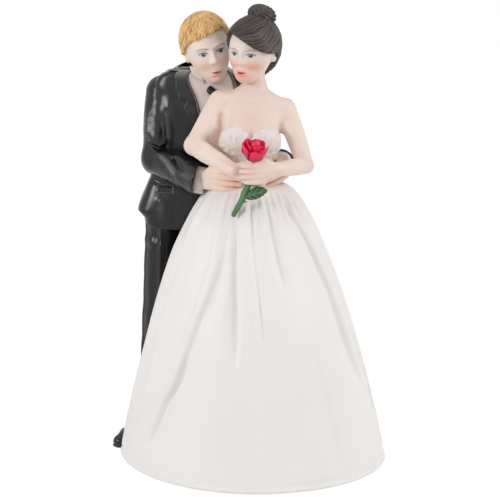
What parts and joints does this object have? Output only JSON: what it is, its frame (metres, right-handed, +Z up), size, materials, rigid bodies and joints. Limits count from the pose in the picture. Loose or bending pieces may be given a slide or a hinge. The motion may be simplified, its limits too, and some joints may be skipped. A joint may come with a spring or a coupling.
{
  "type": "wedding cake topper",
  "caption": "Painted resin wedding cake topper: a groom in a black suit stands behind a bride in a full strapless gown, holding her waist while she holds a red rose.",
  "frame": {"origin": "on the table, inside the flat bottom of the gown, in the middle of the line where the hem is widest", "axes": "+Z up, the couple faces -Y, +X towards the bride's left hand"},
  "size_m": [0.0862, 0.0667, 0.1409],
  "materials": {
    "skin": "pale peach paint with airbrushed blush, satin",
    "gown": "warm white paint, satin",
    "lace": "white paint over moulded lace, satin",
    "suit": "black paint, semi-gloss",
    "shirt": "off-white paint, satin",
    "blond_hair": "golden paint with brown wash in the grooves",
    "dark_hair": "brown-black paint, satin",
    "petal": "crimson paint, satin",
    "stem": "green paint with dark wash, satin"
  },
  "bodies": {
    "root": {"bride_torso": "skin", "bride_head": "skin", "bride_right_arm": "skin", "bride_left_arm": "skin", "bride_right_hand": "skin", "bride_left_hand": "skin", "groom_head": "skin", "groom_right_hand": "skin", "groom_left_hand": "skin", "bride_skirt": "gown", "bride_bodice": "lace", "groom_jacket": "suit", "groom_right_lapel": "suit", "groom_left_lapel": "suit", "groom_jacket_collar": "suit", "groom_pocket_flap": "suit", "groom_right_sleeve": "suit", "groom_left_sleeve": "suit", "groom_right_trouser_leg": "suit", "groom_left_trouser_leg": "suit", "groom_right_shoe": "suit", "groom_left_shoe": "suit", "groom_tie": "suit", "groom_shirt_front": "shirt", "groom_right_collar_leaf": "shirt", "groom_left_collar_leaf": "shirt", "groom_right_cuff": "shirt", "groom_left_cuff": "shirt", "groom_hair": "blond_hair", "bride_hair": "dark_hair", "bride_bun": "dark_hair", "rose_bud": "petal", "rose_petal_1": "petal", "rose_petal_2": "petal", "rose_petal_3": "petal", "rose_petal_4": "petal", "rose_petal_5": "petal", "rose_petal_6": "petal", "rose_petal_7": "petal", "rose_petal_8": "petal", "rose_stem": "stem", "rose_leaf": "stem"}
  },
  "joints": []
}
